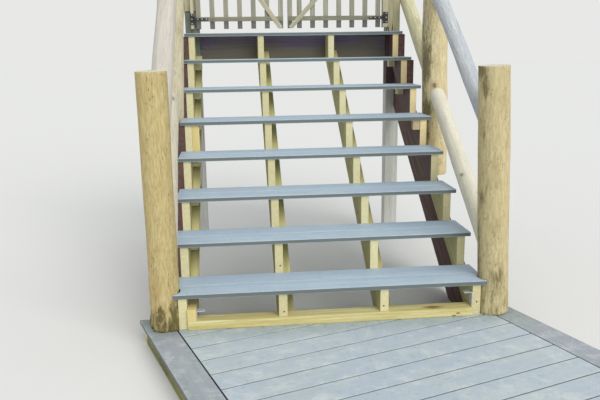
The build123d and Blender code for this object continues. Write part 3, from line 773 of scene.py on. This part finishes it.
# Log rails
# A bleached handrail from each newel to the gate post, a lower rail from the newel to a rounded head
# against the mid post, and an upper rail behind it. The right handrail is silvery and finely cracked.
mid_front = mid_y - 0.112
mid_back = mid_y + mid_radius / 2
rail_overrun = 0.02
long_run = (newel_y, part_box("gate_post_left")[1].y + rail_overrun)
low_run = (newel_y, mid_front)
high_run = (mid_back, long_run[1])


def nosing(y):
    """Height of the line through the treads' front edges."""
    return nosing_foot + rise / going * y


def rail_log(name, pale, deep, stain, streak=(0.2, 0.012), soft=0.28, fibre=0.25, flecks=0.4, carved=0.7,
             blotch=(6, 14), **more):
    """A rail's round side, bleached and smoother than a post's."""
    return timber(name, pale, deep, stain, streak, soft, rings=0.0, fibre=fibre, flecks=flecks, carved=carved,
                  wander=0.006, blotch=blotch, **more)


silver_log = rail_log("silver_log", (206, 211, 211), (168, 174, 179), (176, 180, 194), (0.16, 0.008), 0.25,
                      0.4, 0.5, 0.6, (5, 14), stained=(0.45, 0.65), checks=0.1)
white_log = rail_log("white_log", (208, 204, 195), (186, 179, 167), (202, 193, 186), (0.25, 0.012),
                     flecks=0.35, carved=0.6)
cream_log = rail_log("cream_log", (219, 214, 198), (194, 186, 162), (198, 190, 170))
bone_log = rail_log("bone_log", (232, 228, 212), (210, 205, 184), (210, 203, 188), carved=0.8)
khaki_log = rail_log("khaki_log", (226, 221, 188), (194, 188, 150), (194, 184, 148), (0.12, 0.012), 0.25, 0.3,
                     0.5, blotch=(7, 14))
pale_end = end_grain("pale_end", (206, 200, 178), (156, 148, 122))
rails = {
    "handrail_left": (white_log, long_run, (0.060, 0.078), (0.724, 0.752), 0.058,
                      ((0.45, 100, 0.014), (1.3, 60, 0.016))),
    "handrail_right": (silver_log, long_run, (0.045, 0.087), (0.724, 0.752), 0.046,
                       ((0.62, 60, 0.014), (1.5, 20, 0.014))),
    "lower_rail_left": (cream_log, low_run, (0.047, 0.092), (0.095, 0.024), 0.050,
                        ((0.5, 90, 0.014), (1.36, -70, 0.014))),
    "lower_rail_right": (bone_log, low_run, (0.064, 0.114), (0.095, 0.012), 0.050,
                         ((0.565, -133, 0.011), (0.35, 60, 0.016), (1.2, 40, 0.012))),
    "upper_rail_left": (white_log, high_run, (0.106, 0.0755), (0.071, 0.071), 0.052, ((0.4, 90, 0.014),)),
    "upper_rail_right": (khaki_log, high_run, (0.127, 0.0905), (0.002, 0.145), 0.052,
                         ((0.3, 60, 0.014), (0.55, 100, 0.012))),
}
for luck, (name, (wood, run, offsets, heights, radius, knots)) in enumerate(rails.items(), start=5):
    sign = -1 if name.endswith("left") else 1
    ends = [(sign * (carriage_face + offset), y, nosing(y) + height)
            for y, offset, height in zip(run, offsets, heights)]
    log(name, *ends, radius, [wood, pale_end], "rail_log", luck, knots, lumps=0.002, crook=0.006,
        rounded=name.startswith("lower"))

# Gate leaves
# Two light leaves of sawn pickets nailed behind two rails and a brace. Sun has bleached the fronts,
# and the tails under the bottom rail are painted darker as shade.
stick_arris = 0.0015
picket_width, picket_thickness, stick_height = 0.036, 0.016, 0.033
rail_thickness, brace_step, picket_tail = 0.018, 0.004, 0.055
picket_count, stile_gap, shade_fade, slack = 7, 0.073, 0.012, 0.0005
brace_heads = {"left": 0.865, "right": 0.735}


def stick_wood(name, pale, deep, stain, checks=0.05, **more):
    return timber(name, pale, deep, stain, (0.5, 0.012), 0.25, checks=checks, **more)


gate_end = end_grain("gate_end", (150, 144, 120), (104, 98, 78))
# The gate wood's cover colour is painted shade on the pickets' tails.
gate_wood = stick_wood("gate_wood", (172, 170, 154), (140, 138, 122), (124, 124, 108), knots=0.4,
                       cover=(114, 110, 106))
gate_rail_wood = stick_wood("gate_rail_wood", (147, 145, 127), (122, 120, 102), (112, 110, 94), knots=0.3)
gate_brace_wood = stick_wood("gate_brace_wood", (192, 187, 164), (162, 156, 132), (146, 142, 120), knots=0.3)
gate_finishes = [gate_wood, gate_end, gate_rail_wood, gate_brace_wood]


def stick(bm, start, end, width, thickness, luck, finish=0):
    """A sawn stick from a cube, turned and sized to lie between two points of one upright plane."""
    line = Vector(end) - Vector(start)
    turn = level_back.cross(line).normalized()
    frame_of = Matrix((turn * width, level_back * thickness, line)).transposed().to_4x4()
    place = Matrix.Translation((Vector(start) + Vector(end)) / 2) @ frame_of
    corners = bmesh.ops.create_cube(bm, size=1.0, matrix=place)["verts"]
    edges = list({edge for corner in corners for edge in corner.link_edges})
    known = set(bm.verts) - set(corners)
    ease(bm, edges, stick_arris)
    corners = [corner for corner in bm.verts if corner not in known]
    faces = {face for corner in corners for face in corner.link_faces}
    bmesh.ops.recalc_face_normals(bm, faces=list(faces))
    along = line.normalized()
    lay_grain(bm, corners, along, luck)
    for face in faces:
        face.material_index = 1 if abs(face.normal.dot(along)) > square_on else finish


def spaced(first, last, number):
    return [first + (last - first) * index / (number - 1) for index in range(number)]


picket_lines, rail_levels = {}, {}
for side in ("left", "right"):
    low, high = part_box(f"gate_{side}_leaf")
    if side == "left":
        centres = spaced(low.x + picket_width / 2, high.x - picket_width / 2, picket_count)
        hinge_picket, latch_picket = centres[0], centres[-1]
    else:
        latch_picket = low.x + picket_width / 2
        centres = spaced(latch_picket + stile_gap, high.x - picket_width / 2, picket_count)
        hinge_picket = centres[-1]
        centres.insert(0, latch_picket)
    picket_lines[side] = centres
    rail_levels[side] = (low.z + picket_tail + stick_height / 2, high.z - picket_tail - stick_height / 2)
    picket_y, stick_y = high.y - picket_thickness / 2, low.y + rail_thickness / 2
    bm = bmesh.new()
    with_marks(bm)
    luck = random.Random(side)
    for centre in centres:
        stick(bm, (centre, picket_y, low.z), (centre, picket_y, high.z), picket_width, picket_thickness, luck)
    for z in rail_levels[side]:
        rail_y = stick_y + brace_step / 2
        stick(bm, (low.x, rail_y, z), (high.x, rail_y, z), stick_height, rail_thickness - brace_step, luck, 2)
    brace_ends = (latch_picket, stick_y, low.z), (hinge_picket, stick_y, low.z + brace_heads[side])
    stick(bm, *brace_ends, stick_height, rail_thickness, luck, 3)
    split_at(bm, low.z, keep_above=True)
    shade_top = low.z + picket_tail
    split_at(bm, shade_top)
    split_at(bm, shade_top - shade_fade)
    patch_mark = bm.verts.layers.float["patch"]
    # The pickets' tails below the bottom rail take that painted shade.
    for corner in bm.verts:
        if corner.co.y > high.y - picket_thickness - slack and corner.co.z < shade_top - shade_fade / 2:
            corner[patch_mark] = 0.7
    fit(bm, f"gate_{side}_leaf_sticks", gate_finishes, [f"gate_{side}_leaf"], f"gate_{side}")

# Gate strips and hinges
# Cream strips on both posts hold black strap hinges, one at each rail. The straps turn on pins between
# two knuckles, and bright dome bolts go through straps and plates.
strip_wood = stick_wood("strip_wood", (206, 200, 174), (176, 168, 140), (160, 152, 122), 0.03)
dress("gate_strips", upright, stick_arris, [strip_wood, gate_end])
black_paint = metal("black_paint", (34, 34, 40), (58, 56, 58), 0.2, (0.32, 0.55), spangle=900)
bolt_steel = metal("bolt_steel", (204, 206, 208), (150, 150, 150), 0.8, (0.25, 0.45), spangle=500)
screw_steel = metal("screw_steel", (96, 84, 72), (62, 52, 44), 0.6, (0.45, 0.7), spangle=500)
facing_out = Vector((0, -1, 0))
bolt_head, nail_head = (0.0055, 0.0035), (0.0022, 0.0006)
strap_thickness, pin_inset = 0.003, 0.006
strap_holes, plate_holes = (0.022, 0.055, 0.088), (-0.032, 0.0, 0.032)
plate_insets = {"left": 0.009, "right": 0.014}
nailed_from = 0.11


def heads(name, places, facing, radius, height, finish, body="stairs", dome=True):
    """Bolt or screw heads in one mesh: short drums, the bolts domed and the screws with a sunk drive."""
    bm = bmesh.new()
    with_marks(bm)
    turn = facing.to_track_quat("Z", "Y").to_matrix().to_4x4()
    for spot in places:
        place = Matrix.Translation(Vector(spot) + facing * height / 2) @ turn
        before = set(bm.faces)
        bmesh.ops.create_cone(bm, cap_ends=True, segments=14, radius1=radius, radius2=radius, depth=height,
                              matrix=place)
        top = max((face for face in bm.faces if face not in before), key=lambda face: face.normal.dot(facing))
        if dome:
            bmesh.ops.bevel(bm, geom=list(top.edges), offset=height * 0.8, segments=3, profile=0.5,
                            affect="EDGES", material=-1)
        else:
            bmesh.ops.inset_region(bm, faces=[top], thickness=radius * 0.55)
            bmesh.ops.translate(bm, verts=list(top.verts), vec=-facing * height * 0.9)
    fit(bm, name, [finish], body=body)


for side in ("left", "right"):
    for part, body in (("straps", "gate_" + side), ("plates", "stairs")):
        dress(f"gate_{side}_{part}", upright, pressed_arris, [black_paint], body)
    straps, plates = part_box(f"gate_{side}_straps"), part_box(f"gate_{side}_plates")
    leaf_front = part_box(f"gate_{side}_leaf")[0].y
    strap_front = leaf_front - strap_thickness
    outer = 0 if side == "left" else 1
    pin_x = straps[outer].x + inward[side] * pin_inset
    plate_x = plates[outer].x + inward[side] * plate_insets[side]
    strap_bolts = [(pin_x + inward[side] * hole, strap_front, z)
                   for z in rail_levels[side] for hole in strap_holes]
    plate_bolts = [(plate_x, strap_front, z + hole) for z in rail_levels[side] for hole in plate_holes]
    nails = [(centre, leaf_front, z) for centre in picket_lines[side] for z in rail_levels[side]
             if abs(centre - pin_x) > nailed_from]
    heads(f"gate_{side}_strap_bolts", strap_bolts, facing_out, *bolt_head, bolt_steel, "gate_" + side)
    heads(f"gate_{side}_plate_bolts", plate_bolts, facing_out, *bolt_head, bolt_steel)
    heads(f"gate_{side}_nails", nails, facing_out, *nail_head, screw_steel, "gate_" + side)

# Carriage screws
# Countersunk screws hold the stringers, their heads flush and their steel beginning to brown, and one
# bright domed screw sits on top of each bracket.
screw_head, bracket_head = (0.0045, 0.0008), (0.004, 0.0025)
foot_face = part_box("stringer_2")[0].y
screws = []
for number, x_shift, z_over in ((2, 0.004, 0.07), (3, -0.004, 0.075), (2, 0.006, 0.23), (4, 0.002, 0.072)):
    low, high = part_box(f"stringer_{number}")
    step_back = going if z_over > rise else 0.0
    screws.append(((low.x + high.x) / 2 + x_shift, foot_face + step_back, landing_top + z_over))
heads("carriage_screws", screws, facing_out, *screw_head, screw_steel, dome=False)
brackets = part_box("foot_brackets")
bracket_hole = (0.024, brackets[0].y + 0.02)
bracket_tops = {"left": 0.264, "right": 0.294}
for outer, (side, top) in enumerate(bracket_tops.items()):
    spot = (brackets[outer].x + inward[side] * bracket_hole[0], bracket_hole[1], top)
    heads("bracket_screws_" + side, [spot], upright, *bracket_head, bolt_steel)

# Studio
# A plain pale floor and a sky of the same tone behind it, a broad soft lamp high in front on the right
# with an even fill, and the camera where the photograph was taken.
floor_size, floor_colour, backdrop_colour = 60, (226, 226, 224), (232, 233, 231)
floor_mesh = bpy.data.meshes.new("floor")
bm = bmesh.new()
bmesh.ops.create_grid(bm, x_segments=1, y_segments=1, size=floor_size)
bm.to_mesh(floor_mesh)
bm.free()
floor = put("floor", floor_mesh)
floor_finish, _, floor_shader = surface("floor", specular=0.0)
floor_shader.inputs["Base Color"].default_value = shade(floor_colour)
floor_shader.inputs["Roughness"].default_value = 1.0
floor_mesh.materials.append(floor_finish)
floor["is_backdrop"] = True

fill_colour, fill_strength = (0.95, 0.98, 1.0, 1.0), 0.65
world = bpy.data.worlds.new("sky")
bpy.context.scene.world = world
world.use_nodes = True
sky = world.node_tree
sky.nodes.clear()
rays = add(sky, "LightPath", {}).outputs
mirrored = count(sky, "MAXIMUM", rays["Is Glossy Ray"], rays["Is Transmission Ray"])
seen = count(sky, "MAXIMUM", rays["Is Camera Ray"], mirrored)
fill = add(sky, "Background", {"Color": fill_colour, "Strength": fill_strength})
backdrop = add(sky, "Background", {"Color": shade(backdrop_colour), "Strength": 1.0})
either = add(sky, "MixShader", {0: seen, 1: fill.outputs[0], 2: backdrop.outputs[0]})
add(sky, "OutputWorld", {"Surface": either.outputs[0]})

lamp_direction = Vector((0.4, -1.0, 0.85))
lamp = bpy.data.lights.new("lamp", "SUN")
lamp.energy = 2.2
lamp.angle = math.radians(50)
lamp.color = (1.0, 0.985, 0.955)
lamp_holder = put("lamp", lamp)
lamp_holder.rotation_euler = lamp_direction.to_track_quat("Z", "Y").to_euler()

camera_place = Vector((-0.4774, -3.2708, 1.5152))
camera_yaw, camera_pitch, camera_roll = 0.0954, -0.2213, -0.0142
camera = bpy.data.cameras.new("camera")
camera.sensor_width = 36
camera.lens = 40.48
camera_holder = put("camera", camera)
forward = Vector((math.sin(camera_yaw) * math.cos(camera_pitch),
                  math.cos(camera_yaw) * math.cos(camera_pitch), math.sin(camera_pitch)))
level_right = Vector((math.cos(camera_yaw), -math.sin(camera_yaw), 0))
level_up = level_right.cross(forward)
right = math.cos(camera_roll) * level_right + math.sin(camera_roll) * level_up
up = -math.sin(camera_roll) * level_right + math.cos(camera_roll) * level_up
camera_turn = Matrix((right, up, -forward)).transposed().to_4x4()
camera_holder.matrix_world = Matrix.Translation(camera_place) @ camera_turn
bpy.context.scene.camera = camera_holder
bpy.context.scene.view_settings.view_transform = "Standard"

# Sizes
# The finished object's box, leaving out the floor.
low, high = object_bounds()
